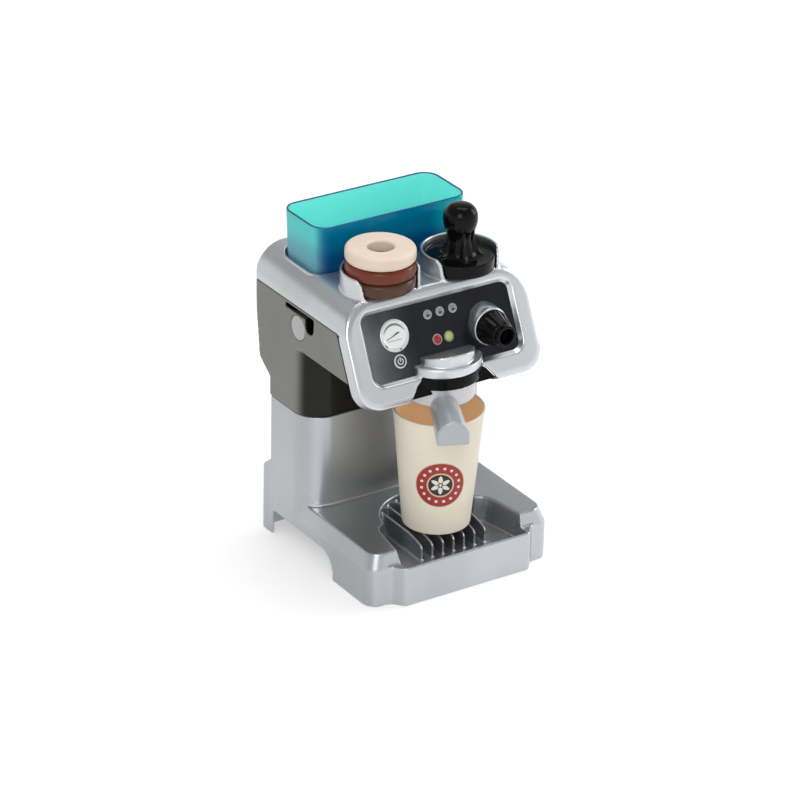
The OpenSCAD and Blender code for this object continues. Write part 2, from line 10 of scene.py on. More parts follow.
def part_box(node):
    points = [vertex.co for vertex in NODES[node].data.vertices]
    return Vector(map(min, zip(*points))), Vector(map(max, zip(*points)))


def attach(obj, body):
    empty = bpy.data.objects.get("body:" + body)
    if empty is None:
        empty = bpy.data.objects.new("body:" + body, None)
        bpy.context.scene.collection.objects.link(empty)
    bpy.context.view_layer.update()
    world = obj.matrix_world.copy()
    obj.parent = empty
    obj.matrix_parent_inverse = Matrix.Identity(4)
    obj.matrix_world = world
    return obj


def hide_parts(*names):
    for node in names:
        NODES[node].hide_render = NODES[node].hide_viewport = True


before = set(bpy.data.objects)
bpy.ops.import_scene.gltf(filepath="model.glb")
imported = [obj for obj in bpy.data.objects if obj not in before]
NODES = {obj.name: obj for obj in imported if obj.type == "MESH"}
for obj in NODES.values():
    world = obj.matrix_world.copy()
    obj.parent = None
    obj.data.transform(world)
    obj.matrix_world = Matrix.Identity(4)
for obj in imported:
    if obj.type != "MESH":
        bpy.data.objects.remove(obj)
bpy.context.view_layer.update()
MM = 0.001

# ---------------------------------------------------------------- sizes shared with the CAD frame

BREW_Y = -32.5 * MM
HANDLE_ANGLE = math.radians(25.2)
HANDLE_END = 76 * MM
PANEL_TILT = math.radians(25.9)
PANEL_ORIGIN = Vector((0, -20.8, 230.1)) * MM
KNOB_X, KNOB_Z = 42 * MM, 204 * MM
BOSS_Y = -40.5 * MM
KNOB_TIP_Y = -62.5 * MM
WELL = Vector((37.2, -0.6, 242.3)) * MM
RIDGE_TURN = math.radians(34.5)
PANEL_UP = Vector((0, math.sin(PANEL_TILT), math.cos(PANEL_TILT)))
PANEL_OUT = Vector((0, -math.cos(PANEL_TILT), math.sin(PANEL_TILT)))

# camera of the reference view: place, and turns about z (yaw), sideways (pitch) and its own axis
CAMERA_PLACE = Vector((-1581.1, -2352.9, 1545.8)) * MM
CAMERA_YAW = math.radians(33.64)
CAMERA_PITCH = math.radians(26.50)
CAMERA_ROLL = math.radians(-1.31)
FOCAL_PIXELS = 3978
IMAGE_PIXELS = 800
SENSOR = 36


# ---------------------------------------------------------------- camera, light, floor


def make_camera():
    forward = Vector((math.sin(CAMERA_YAW) * math.cos(CAMERA_PITCH),
                      math.cos(CAMERA_YAW) * math.cos(CAMERA_PITCH), -math.sin(CAMERA_PITCH)))
    level = Vector((math.cos(CAMERA_YAW), -math.sin(CAMERA_YAW), 0))
    down = forward.cross(level)
    c, s = math.cos(CAMERA_ROLL), math.sin(CAMERA_ROLL)
    right = c * level + s * down
    low = c * down - s * level
    data = bpy.data.cameras.new("camera")
    data.sensor_width = SENSOR
    data.lens = FOCAL_PIXELS / IMAGE_PIXELS * SENSOR
    data.clip_start, data.clip_end = 0.05, 50
    camera = bpy.data.objects.new("camera", data)
    bpy.context.scene.collection.objects.link(camera)
    turn = Matrix((right, -low, -forward)).transposed().to_4x4()
    camera.matrix_world = Matrix.Translation(CAMERA_PLACE) @ turn
    bpy.context.scene.camera = camera


def softbox(name, place, target, width, height, watts):
    data = bpy.data.lights.new(name, "AREA")
    data.shape = "RECTANGLE"
    data.size, data.size_y = width, height
    data.energy = watts
    lamp = bpy.data.objects.new(name, data)
    bpy.context.scene.collection.objects.link(lamp)
    place, target = Vector(place), Vector(target)
    lamp.location = place
    lamp.rotation_mode = "QUATERNION"
    lamp.rotation_quaternion = (target - place).to_track_quat("-Z", "Y")
    return lamp


def seen_ray(tree):
    """1 for rays that see a surface directly, in a reflection or through glass."""
    path = tree.nodes.new("ShaderNodeLightPath")
    total = None
    for output in ("Is Camera Ray", "Is Glossy Ray", "Is Transmission Ray"):
        if total is None:
            total = path.outputs[output]
            continue
        step = tree.nodes.new("ShaderNodeMath")
        step.operation = "MAXIMUM"
        tree.links.new(total, step.inputs[0])
        tree.links.new(path.outputs[output], step.inputs[1])
        total = step.outputs[0]
    return total


def around(azimuth, elevation, distance):
    """A place seen from the object: azimuth from the front towards +x."""
    a, e = math.radians(azimuth), math.radians(elevation)
    return (distance * math.sin(a) * math.cos(e), -distance * math.cos(a) * math.cos(e),
            0.13 + distance * math.sin(e))


def make_light():
    """Three soft lamps in a white room whose walls dim above the height of the lamps."""
    centre = (0, 0, 0.13)
    softbox("key", (-1.2, -1.5, 1.5), centre, 1.1, 1.3, 15)
    softbox("fill", around(80, 22, 2.3), centre, 0.9, 1.3, 13)
    softbox("top", (0.5, 0.3, 2.2), centre, 1.4, 1.0, 12)
    world = bpy.data.worlds.new("studio")
    bpy.context.scene.world = world
    world.use_nodes = True
    tree = world.node_tree
    ambient = tree.nodes["Background"]
    ambient.inputs["Color"].default_value = (1, 1, 1, 1)
    ambient.inputs["Strength"].default_value = 0.48
    height = tree.nodes.new("ShaderNodeSeparateXYZ")
    tree.links.new(tree.nodes.new("ShaderNodeTexCoord").outputs["Generated"], height.inputs[0])
    walls = tree.nodes.new("ShaderNodeValToRGB")
    walls.color_ramp.interpolation = "EASE"
    for point, (level, grey) in zip(walls.color_ramp.elements, ((0.28, 1.0), (0.45, 0.42))):
        point.position = level
        point.color = (grey, grey, grey, 1)
    tree.links.new(height.outputs["Z"], walls.inputs["Fac"])
    shown = tree.nodes.new("ShaderNodeBackground")
    shown.inputs["Strength"].default_value = 1.0
    tree.links.new(walls.outputs["Color"], shown.inputs["Color"])
    mix = tree.nodes.new("ShaderNodeMixShader")
    tree.links.new(seen_ray(tree), mix.inputs[0])
    tree.links.new(ambient.outputs[0], mix.inputs[1])
    tree.links.new(shown.outputs[0], mix.inputs[2])
    tree.links.new(mix.outputs[0], tree.nodes["World Output"].inputs["Surface"])


def make_floor():
    size, segments = 3.0, 64
    bm = bmesh.new()
    bmesh.ops.create_circle(bm, cap_ends=True, radius=size, segments=segments)
    mesh = bpy.data.meshes.new("floor")
    bm.to_mesh(mesh)
    bm.free()
    floor = bpy.data.objects.new("floor", mesh)
    bpy.context.scene.collection.objects.link(floor)
    floor.location.z = -0.0003
    material = bpy.data.materials.new("floor_paper")
    material.use_nodes = True
    tree = material.node_tree
    paper = tree.nodes["Principled BSDF"]
    paper.inputs["Base Color"].default_value = (0.82, 0.82, 0.82, 1)
    paper.inputs["Roughness"].default_value = 0.9
    paper.inputs["Specular IOR Level"].default_value = 0.1
    glow = tree.nodes.new("ShaderNodeEmission")
    lift = tree.nodes.new("ShaderNodeMath")
    lift.operation = "MULTIPLY"
    lift.inputs[1].default_value = 0.42
    tree.links.new(seen_ray(tree), lift.inputs[0])
    tree.links.new(lift.outputs[0], glow.inputs["Strength"])
    add = tree.nodes.new("ShaderNodeAddShader")
    tree.links.new(paper.outputs[0], add.inputs[0])
    tree.links.new(glow.outputs[0], add.inputs[1])
    tree.links.new(add.outputs[0], tree.nodes["Material Output"].inputs["Surface"])
    mesh.materials.append(material)


# ---------------------------------------------------------------- materials


class Surface:
    """A Principled material under construction, patterned in the object's own coordinates."""

    def __init__(self, name, roughness, metallic=0.0, specular=0.5, coat=0.0, coat_roughness=0.05):
        self.material = bpy.data.materials.new(name)
        self.material.use_nodes = True
        self.tree = self.material.node_tree
        self.shader = self.tree.nodes["Principled BSDF"]
        self.shader.inputs["Roughness"].default_value = roughness
        self.shader.inputs["Metallic"].default_value = metallic
        self.shader.inputs["Specular IOR Level"].default_value = specular
        self.shader.inputs["Coat Weight"].default_value = coat
        self.shader.inputs["Coat Roughness"].default_value = coat_roughness
        self.place = self.tree.nodes.new("ShaderNodeTexCoord").outputs["Object"]
        self.heights = []

    def link(self, source, target):
        self.tree.links.new(source, target)

    def noise(self, scale, detail=3.0, roughness=0.5, stretch=(1, 1, 1), distortion=0.0):
        place = self.place
        if stretch != (1, 1, 1):
            mapping = self.tree.nodes.new("ShaderNodeMapping")
            mapping.inputs["Scale"].default_value = stretch
            self.link(place, mapping.inputs["Vector"])
            place = mapping.outputs[0]
        node = self.tree.nodes.new("ShaderNodeTexNoise")
        node.inputs["Scale"].default_value = scale
        node.inputs["Detail"].default_value = detail
        node.inputs["Roughness"].default_value = roughness
        node.inputs["Distortion"].default_value = distortion
        self.link(place, node.inputs["Vector"])
        return node.outputs["Fac"]

    def cells(self, scale):
        node = self.tree.nodes.new("ShaderNodeTexVoronoi")
        node.inputs["Scale"].default_value = scale
        self.link(self.place, node.inputs["Vector"])
        return node.outputs["Color"]

    def axis(self, name):
        """One coordinate of the place on the object: X, Y or Z, in metres."""
        node = self.tree.nodes.new("ShaderNodeSeparateXYZ")
        self.link(self.place, node.inputs[0])
        return node.outputs[name]

    def facing(self, name):
        """How far a face looks along X, Y or Z of the object, from -1 to 1."""
        node = self.tree.nodes.new("ShaderNodeSeparateXYZ")
        self.link(self.tree.nodes.new("ShaderNodeTexCoord").outputs["Normal"], node.inputs[0])
        return node.outputs[name]

    def between(self, source, low, high):
        """0 where the source is at low, 1 at high, smooth between."""
        node = self.tree.nodes.new("ShaderNodeMapRange")
        node.interpolation_type = "SMOOTHSTEP"
        node.inputs["From Min"].default_value = low
        node.inputs["From Max"].default_value = high
        self.link(source, node.inputs["Value"])
        return node.outputs["Result"]

    def times(self, a, b):
        node = self.tree.nodes.new("ShaderNodeMath")
        node.operation = "MULTIPLY"
        self.link(a, node.inputs[0])
        self.link(b, node.inputs[1])
        return node.outputs[0]

    def ramp(self, source, stops, smooth=True):
        """A colour ramp: stops are (position, colour), each colour three numbers or one grey."""
        node = self.tree.nodes.new("ShaderNodeValToRGB")
        if smooth:
            node.color_ramp.interpolation = "EASE"
        points = node.color_ramp.elements
        while len(points) < len(stops):
            points.new(0.5)
        for point, (position, colour) in zip(points, stops):
            point.position = position
            point.color = (*colour, 1) if hasattr(colour, "__len__") else (colour, colour, colour, 1)
        self.link(source, node.inputs["Fac"])
        return node.outputs["Color"]

    def mix(self, a, b, factor, kind="MIX"):
        node = self.tree.nodes.new("ShaderNodeMix")
        node.data_type = "RGBA"
        node.blend_type = kind
        for value, socket in ((factor, node.inputs[0]), (a, node.inputs[6]), (b, node.inputs[7])):
            if isinstance(value, bpy.types.NodeSocket):
                self.link(value, socket)
            elif hasattr(value, "__len__"):
                socket.default_value = (*value, 1)
            else:
                socket.default_value = value
        return node.outputs[2]

    def colour(self, source):
        self.link(source, self.shader.inputs["Base Color"])

    def rough(self, source):
        self.link(source, self.shader.inputs["Roughness"])

    def bump(self, source, distance, strength=1.0):
        node = self.tree.nodes.new("ShaderNodeBump")
        node.inputs["Strength"].default_value = strength
        node.inputs["Distance"].default_value = distance
        self.link(source, node.inputs["Height"])
        if self.heights:
            self.link(self.heights[-1], node.inputs["Normal"])
        self.heights.append(node.outputs[0])
        self.link(node.outputs[0], self.shader.inputs["Normal"])


def srgb(r, g, b):
    """A colour as the eye reads it, 0 to 255, turned into light levels."""
    return tuple(((v / 255 + 0.055) / 1.055) ** 2.4 if v > 10 else v / 255 / 12.92 for v in (r, g, b))


def shade(colour, factor):
    return tuple(min(1.0, v * factor) for v in colour)


def silver_plastic(name, colour, roughness=0.3, metallic=0.9, flow_and_side_shade=1.0):
    """Plastic full of metal flakes: cloudy patches from moulding, a fine sparkle, and painted shade that
    darkens faces turned towards -x.
    """
    s = Surface(name, roughness, metallic, coat=0.25, coat_roughness=0.16)
    clouds = s.noise(9, 3, 0.5, stretch=(1, 1, 0.6), distortion=0.4)
    base = s.ramp(clouds, [(0.3, shade(colour, 1 - 0.06 * flow_and_side_shade)), (0.7, shade(colour, 1 + 0.05 * flow_and_side_shade))])
    streaks = s.noise(16, 3, 0.6, stretch=(1, 1, 0.12), distortion=0.5)
    base = s.mix(base, s.ramp(streaks, [(0.35, 1 - 0.05 * flow_and_side_shade), (0.65, 1.0)]), 1.0, "MULTIPLY")
    # painted shade: faces turned towards -x are darkened, 16 percent at full setting, as if less light fell
    # on that side
    painted_side_shade = s.ramp(s.between(s.facing("X"), -0.45, -0.9), [(0.0, 1.0), (1.0, 1 - 0.16 * flow_and_side_shade)])
    base = s.mix(base, painted_side_shade, 1.0, "MULTIPLY")
    flakes = s.ramp(s.cells(2600), [(0.0, 0.93), (1.0, 1.07)], smooth=False)
    s.colour(s.mix(base, flakes, 1.0, "MULTIPLY"))
    s.rough(s.ramp(clouds, [(0.3, roughness + 0.04), (0.7, roughness - 0.04)]))
    s.bump(s.noise(900, 2, 0.5), 0.00002, 0.35)
    return s.material


def flake_gloss(name, colour, roughness=0.2, metallic=0.6):
    """Dark glossy plastic with a little metal in it, clear; on faces to the front a painted shade makes it
    nearly black, standing in for shadow and dark reflections.
    """
    s = Surface(name, roughness, metallic, specular=0.4)
    haze = s.noise(14, 4, 0.55, distortion=0.5)
    # painted shade: light is the tone of the sides, deep a near-black copy blended in on faces turned to the
    # front
    light = s.ramp(haze, [(0.3, shade(colour, 0.93)), (0.75, shade(colour, 1.07))])
    deep = s.ramp(haze, [(0.3, shade(colour, 0.05)), (0.75, shade(colour, 0.08))])
    s.colour(s.mix(light, deep, s.between(s.facing("Y"), -0.08, -0.55)))
    s.rough(s.ramp(haze, [(0.35, roughness - 0.02), (0.8, roughness + 0.04)]))
    s.bump(s.noise(1300, 2, 0.5), 0.00001, 0.3)
    return s.material


def gloss_plastic(name, colour, roughness=0.14, wear=0.05, specular=0.16):
    """Dyed glossy plastic: slight waviness, faint handling haze."""
    s = Surface(name, roughness, specular=specular)
    haze = s.noise(45, 5, 0.6, distortion=0.4)
    s.colour(s.ramp(haze, [(0.3, shade(colour, 0.92)), (0.75, shade(colour, 1.10))]))
    s.rough(s.ramp(haze, [(0.35, roughness - 0.02), (0.8, roughness + wear)]))
    s.bump(s.noise(60, 2, 0.4), 0.00012, 0.25)
    s.bump(s.noise(1500, 2, 0.5), 0.00001, 0.25)
    return s.material


def satin_plastic(name, colour, roughness=0.42, depth=0.06, subsurface=0.0, glow=0.0, specular=0.5):
    """Moulded plastic with a fine grain; glow is painted light, an emission that stands in for the light
    that comes through a thin wall.
    """
    s = Surface(name, roughness, specular=specular)
    patches = s.noise(40, 4, 0.6)
    s.colour(s.ramp(patches, [(0.3, shade(colour, 1 - depth)), (0.7, shade(colour, 1 + depth))]))
    s.rough(s.ramp(patches, [(0.3, roughness - 0.03), (0.7, roughness + 0.04)]))
    s.bump(s.noise(1100, 3, 0.6), 0.00003, 0.4)
    if subsurface:
        s.shader.inputs["Subsurface Weight"].default_value = subsurface
        s.shader.inputs["Subsurface Radius"].default_value = (0.004, 0.003, 0.002)
        s.shader.inputs["Subsurface Scale"].default_value = 1.0
    # painted light: the surface glows in its own colour
    if glow:
        s.shader.inputs["Emission Color"].default_value = (*colour, 1)
        s.shader.inputs["Emission Strength"].default_value = glow
    return s.material


def steel(name):
    s = Surface(name, 0.3, 1.0)
    brushed = s.noise(300, 3, 0.6, stretch=(1, 1, 8))
    s.colour(s.ramp(brushed, [(0.3, srgb(150, 152, 156)), (0.7, srgb(190, 192, 196))]))
    s.bump(brushed, 0.00002, 0.3)
    return s.material


SILVER = silver_plastic("silver_moulding", srgb(186, 189, 193))
# the cover's stronger setting also deepens its painted shade on faces towards -x
COVER_SILVER = silver_plastic("cover_silver", srgb(214, 217, 220), flow_and_side_shade=1.1)
BOWL_SILVER = silver_plastic("bowl_silver", srgb(206, 206, 208), 0.34, 0.5, 0.5)
HANDLE_GREY = silver_plastic("handle_grey", srgb(182, 188, 193), 0.3, 0.3, 0.5)
DARK_GLOSS = flake_gloss("dark_housing", srgb(118, 118, 113))
BLACK_GLOSS = gloss_plastic("black_gloss", srgb(12, 12, 13), 0.09, 0.03, 0.13)
COLLAR_BLACK = gloss_plastic("collar_black", srgb(10, 11, 12), 0.2, 0.06, 0.1)
PLUG_GREY = satin_plastic("plug_grey", srgb(196, 197, 198), 0.5)
PAD_CREAM = satin_plastic("pad_cream", srgb(244, 224, 206), 0.45, 0.03, 0.15)
PAD_RED = satin_plastic("pad_red_brown", srgb(120, 60, 42), 0.2, 0.12, specular=0.22)
PAD_DARK = satin_plastic("pad_dark_brown", srgb(88, 62, 47), 0.18, 0.14, specular=0.22)
CUP_CREAM = satin_plastic("cup_cream", srgb(250, 241, 222), 0.5, 0.02, 0.1)
# the tan inside glows: painted light for light coming through the cup's wall
CUP_TAN = satin_plastic("cup_tan", srgb(232, 200, 158), 0.5, 0.03, glow=0.16)
STEEL = steel("steel")


def film_plastic():
    """Printed black film, with a painted reflection: a pale grey sheen mixed in towards its left end."""
    s = Surface("film_black", 0.16, specular=0.16)
    # painted reflection: side masks the left end, where a pale grey sheen is mixed in below
    side = s.between(s.axis("X"), -0.02, -0.07)
    haze = s.noise(20, 3, 0.5)
    deep = s.ramp(haze, [(0.3, srgb(24, 25, 29)), (0.7, srgb(34, 36, 41))])
    s.colour(s.mix(deep, srgb(150, 154, 158), s.times(side, s.ramp(haze, [(0.3, 0.1), (0.75, 0.5)]))))
    s.rough(s.ramp(haze, [(0.3, 0.14), (0.8, 0.2)]))
    s.bump(s.noise(1500, 2, 0.5), 0.00001, 0.2)
    return s.material


def paint(node, material):
    """Gives a carried-over CAD node its material."""
    mesh = NODES[node].data
    mesh.materials.clear()
    mesh.materials.append(material)
    for polygon in mesh.polygons:
        polygon.material_index = 0


# ---------------------------------------------------------------- pieces


def moulded(name, nodes, body, material, voxel, rounds, keep):
    """A moulding made from CAD nodes, with every edge and inner corner rounded off."""
    bm = bmesh.new()
    for node in nodes:
        bm.from_mesh(NODES[node].data)
    bmesh.ops.remove_doubles(bm, verts=bm.verts, dist=1e-6)
    mesh = bpy.data.meshes.new(name + "_rough")
    bm.to_mesh(mesh)
    bm.free()
    piece = bpy.data.objects.new(name, mesh)
    bpy.context.scene.collection.objects.link(piece)
    skin = piece.modifiers.new("skin", "REMESH")
    skin.mode = "VOXEL"
    skin.voxel_size = voxel
    soften = piece.modifiers.new("soften", "SMOOTH")
    soften.factor = 0.5
    soften.iterations = rounds
    if keep < 1:
        thin = piece.modifiers.new("thin", "DECIMATE")
        thin.ratio = keep
    bake(piece, name)
    piece.data.materials.clear()
    piece.data.materials.append(material)
    piece.data.shade_smooth()
    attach(piece, body)
    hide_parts(*nodes)


def bake(piece, name):
    """Turns a piece's modifiers into its mesh."""
    graph = bpy.context.evaluated_depsgraph_get()
    made = bpy.data.meshes.new_from_object(piece.evaluated_get(graph))
    made.name = name
    old = piece.data
    piece.modifiers.clear()
    piece.data = made
    bpy.data.meshes.remove(old)


def add_piece(name, bm, materials, body, *nodes, smooth_angle=40, slot=None):
    """Puts a finished mesh into the scene, on its body and in place of its CAD nodes."""
    bmesh.ops.recalc_face_normals(bm, faces=bm.faces)
    mesh = bpy.data.meshes.new(name)
    bm.to_mesh(mesh)
    bm.free()
    for material in materials:
        mesh.materials.append(material)
    mesh.shade_smooth()
    mesh.set_sharp_from_angle(angle=math.radians(smooth_angle))
    piece = bpy.data.objects.new(name, mesh)
    bpy.context.scene.collection.objects.link(piece)
    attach(piece, body)
    if nodes:
        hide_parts(*nodes)
    return piece


def fillet(points, radius, steps=5):
    """The same outline with its inner corners rounded; a point may carry its own radius."""
    out = [Vector(points[0][:2])]
    for before, here, after in zip(points, points[1:], points[2:]):
        r = here[2] if len(here) > 2 else radius
        a, b, c = Vector(before[:2]), Vector(here[:2]), Vector(after[:2])
        reach = min(r, (a - b).length * 0.5, (c - b).length * 0.5)
        if reach <= 0:
            out.append(b)
            continue
        start = b + (a - b).normalized() * reach
        end = b + (c - b).normalized() * reach
        for i in range(steps + 1):
            t = i / steps
            out.append((1 - t) ** 2 * start + 2 * t * (1 - t) * b + t ** 2 * end)
    out.append(Vector(points[-1][:2]))
    return out


def lathe(bm, profile, place, steps=128, radius=None, slots=None):
    """Turns (radius, height) points about the z axis of place; radius(r, z, angle) may shape them.

    Points at radius 0 close the form. slots gives each span of the profile its material slot.
    """
    rings = []
    for r, z in profile:
        if r < 1e-7:
            rings.append([bm.verts.new(place @ Vector((0, 0, z)))])
            continue
        ring = []
        for i in range(steps):
            angle = math.tau * i / steps
            rr = radius(r, z, angle) if radius else r
            ring.append(bm.verts.new(place @ Vector((rr * math.cos(angle), rr * math.sin(angle), z))))
        rings.append(ring)
    for k, (low, high) in enumerate(zip(rings, rings[1:])):
        slot = slots[k] if slots else 0
        for i in range(steps):
            j = (i + 1) % steps
            if len(low) == 1 and len(high) == 1:
                continue
            if len(low) == 1:
                corners = (low[0], high[i], high[j])
            elif len(high) == 1:
                corners = (low[i], low[j], high[0])
            else:
                corners = (low[i], low[j], high[j], high[i])
            bm.faces.new(corners).material_index = slot
    return rings


def loft(bm, sections, cap_ends=False):
    """Skins closed sections that hold the same number of points."""
    rings = [[bm.verts.new(p) for p in section] for section in sections]
    count = len(rings[0])
    for low, high in zip(rings, rings[1:]):
        for i in range(count):
            j = (i + 1) % count
            bm.faces.new((low[i], low[j], high[j], high[i]))
    if cap_ends:
        for ring in (rings[0], rings[-1]):
            bm.faces.new(ring)
    return rings


def round_box(x, y0, y1, r, steps=8):
    """Corner-rounded rectangle, half width x, from y0 to y1."""
    out = []
    corners = ((x - r, y0 + r, -90), (x - r, y1 - r, 0), (-x + r, y1 - r, 90), (-x + r, y0 + r, 180))
    for cx, cy, start in corners:
        for i in range(steps + 1):
            angle = math.radians(start + 90 * i / steps)
            out.append((cx + r * math.cos(angle), cy + r * math.sin(angle)))
    return out


def at(x, y, z):
    return Matrix.Translation((x, y, z))


def make_pads():
    """Three pads with rounded edges."""
    for node, material, body in (("pad_top", PAD_CREAM, "pad_high"), ("pad_middle", PAD_RED, "pad_mid"),
                                 ("pad_bottom", PAD_DARK, "pad_low")):
        low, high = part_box(node)
        outer, inner = (high.x - low.x) / 2, 10.5 * MM
        thick, edge = high.z - low.z, 3.9 * MM
        outline = [(inner, thick / 2), (inner, 0, 3.2 * MM), (outer, 0, edge), (outer, thick, edge),
                   (inner, thick, 3.2 * MM), (inner, thick / 2)]
        bm = bmesh.new()
        lathe(bm, fillet(outline, edge, 10), at((low.x + high.x) / 2, (low.y + high.y) / 2, low.z), 160)
        bmesh.ops.remove_doubles(bm, verts=bm.verts, dist=1e-7)
        add_piece("ring_" + node, bm, [material], body, node)


def make_cup():
    low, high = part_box("cup")
    rim, height = (high.x - low.x) / 2, high.z - low.z
    foot = 27.5 * MM
    wall = 1.4 * MM
    profile = fillet([(0, 0), (foot, 0, 1.2 * MM), (rim - 0.7 * MM, height - 2.6 * MM, 0.5 * MM),
                      (rim, height - 2.0 * MM, 0.8 * MM), (rim, height, 0.9 * MM),
                      (rim - 1.9 * MM, height, 0.9 * MM), (rim - 2.0 * MM, height - 2.4 * MM, 0.8 * MM),
                      (foot - wall, 2.0 * MM, 1.5 * MM), (0, 2.0 * MM)], 1 * MM, 6)
    top = max(range(len(profile)), key=lambda i: profile[i].y)
    slots = [0 if i < top + 8 else 1 for i in range(len(profile))]
    bm = bmesh.new()
    lathe(bm, profile, at(0, BREW_Y, low.z), 160, slots=slots)
    add_piece("cup_body", bm, [CUP_CREAM, CUP_TAN], "paper_cup", "cup")


def on_cup(across, height, lift):
    """A point on the cup's outside: across the print towards +x, height above the cup's foot."""
    low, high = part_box("cup")
    foot, rim = 27.5 * MM, (high.x - low.x) / 2 - 0.7 * MM
    height -= across ** 2 / PRINT_SAG
    r = foot + (rim - foot) * height / (high.z - low.z - 2.4 * MM)
    azimuth = PRINT_TURN + across / r
    r += lift
    return Vector((r * math.sin(azimuth), BREW_Y - r * math.cos(azimuth), low.z + height))


def cup_print(name, outline_rings, material, lift):
    """Printed patch on the cup: rings of (across, up) points from the middle outwards."""
    bm = bmesh.new()
    rings = []
    for ring in outline_rings:
        rings.append([bm.verts.new(on_cup(u, PRINT_HEIGHT + v, lift)) for u, v in ring])
    for low, high in zip(rings, rings[1:]):
        count = len(high)
        for i in range(count):
            j = (i + 1) % count
            if len(low) == 1:
                bm.faces.new((low[0], high[i], high[j]))
            else:
                bm.faces.new((low[i], low[j], high[j], high[i]))
    return add_piece(name, bm, [material], "paper_cup", slot="cup_plastic")


PRINT_TURN = math.radians(-29)
PRINT_HEIGHT = 46.9 * MM
PRINT_RADIUS = 20.6 * MM
PRINT_SAG = 500 * MM


def ring_points(r0, r1, spans, steps=96, centre=(0, 0)):
    """Concentric rings of points from radius r0 to r1."""
    out = []
    for k in range(spans + 1):
        r = r0 + (r1 - r0) * k / spans
        if r < 1e-7:
            out.append([centre])
            continue
        out.append([(centre[0] + r * math.cos(math.tau * i / steps),
                     centre[1] + r * math.sin(math.tau * i / steps)) for i in range(steps)])
    return out


def make_roundel():
    """A plain round print: red ring with cream dots, cream ring, black middle with a six-leaf rosette."""
    red = satin_plastic("print_red", srgb(166, 48, 44), 0.4, 0.04)
    cream = satin_plastic("print_cream", srgb(233, 205, 160), 0.4, 0.03)
    black = satin_plastic("print_black", srgb(26, 24, 24), 0.4, 0.05)
    white = satin_plastic("print_white", srgb(244, 238, 228), 0.4, 0.02)
    r = PRINT_RADIUS
    cup_print("print_edge", ring_points(0, r, 12), cream, 0.03 * MM)
    cup_print("print_red_ring", ring_points(r * 0.535, r * 0.965, 6), red, 0.06 * MM)
    cup_print("print_middle", ring_points(0, r * 0.475, 6), black, 0.06 * MM)
    for i in range(16):
        angle = math.tau * (i + 0.5) / 16
        dot = r * 0.75
        spot = (dot * math.cos(angle), dot * math.sin(angle))
        cup_print(f"print_dot_{i}", ring_points(0, r * 0.062, 1, 20, spot), white, 0.09 * MM)
    for i in range(6):
        angle = math.tau * i / 6 + math.tau / 12
        leaf = []
        for k in range(24):
            t = math.tau * k / 24
            along = r * (0.25 + 0.155 * math.cos(t))
            across = r * 0.085 * math.sin(t) * (1 - 0.25 * math.cos(t))
            leaf.append((along * math.cos(angle) - across * math.sin(angle),
                         along * math.sin(angle) + across * math.cos(angle)))
        middle = [(r * 0.25 * math.cos(angle), r * 0.25 * math.sin(angle))]
        cup_print(f"print_leaf_{i}", [middle, leaf], white, 0.09 * MM)
    cup_print("print_heart", ring_points(0, r * 0.06, 1, 20), white, 0.09 * MM)


def smooth_curve(points, steps=5):
    """A smooth curve through the given points."""
    out = []
    held = [points[0]] + list(points) + [points[-1]]
    for a, b, c, d in zip(held, held[1:], held[2:], held[3:]):
        a, b, c, d = (Vector(p) for p in (a, b, c, d))
        for i in range(steps):
            t = i / steps
            out.append(0.5 * (2 * b + (c - a) * t + (2 * a - 5 * b + 4 * c - d) * t ** 2
                              + (3 * b - a - 3 * c + d) * t ** 3))
    out.append(Vector(points[-1]))
    return out


def make_tamper():
    """Disc with a rounded edge, and a pear-shaped grip whose flared neck has five thin ridges."""
    low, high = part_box("tamper_base")
    disc = (high.x - low.x) / 2
    place = at(WELL.x, WELL.y, low.z)
    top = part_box("tamper_knob")[1].z - low.z
    foot, ridge_top = 9.9 * MM, 33 * MM
    edge = fillet([(0, 0), (disc, 0, 0.8 * MM), (disc, 10.3 * MM, 0.9 * MM),
                   (disc - 2.0 * MM, 10.3 * MM, 0.6 * MM), (disc - 2.6 * MM, foot, 0.5 * MM),
                   (19.8 * MM, foot)], 1 * MM, 6)
    grip = ((19.2, 9.9), (16.6, 10.1), (14.2, 11.0), (12.6, 13.0), (11.5, 16.0), (10.7, 19.5), (10.3, 23),
            (10.5, 26), (11.4, 30), (12.7, 34), (13.7, 38), (13.95, 42), (13.3, 46), (11.4, 49.6),
            (8.2, 52.2), (4.2, 53.1))
    profile = edge + smooth_curve([(r * MM, z * MM) for r, z in grip]) + [Vector((0, top))]

    def ridged(r, z, angle):
        if r > 19.3 * MM or z < foot or z > ridge_top:
            return r
        turn = (angle - RIDGE_TURN) % (math.tau / 5)
        turn = min(turn, math.tau / 5 - turn)
        rise = 1 - (z - foot) / (ridge_top - foot)
        width = 0.10 + 0.06 * rise
        reach = min(4.0 * MM * rise ** 1.2, 19.3 * MM - r)
        return r + reach * math.exp(-(turn / width) ** 2)

    bm = bmesh.new()
    lathe(bm, profile, place, 400, ridged)
    bmesh.ops.remove_doubles(bm, verts=bm.verts, dist=1e-7)
    add_piece("tamper_body", bm, [BLACK_GLOSS], "tamper", "tamper_base", "tamper_knob", smooth_angle=60)


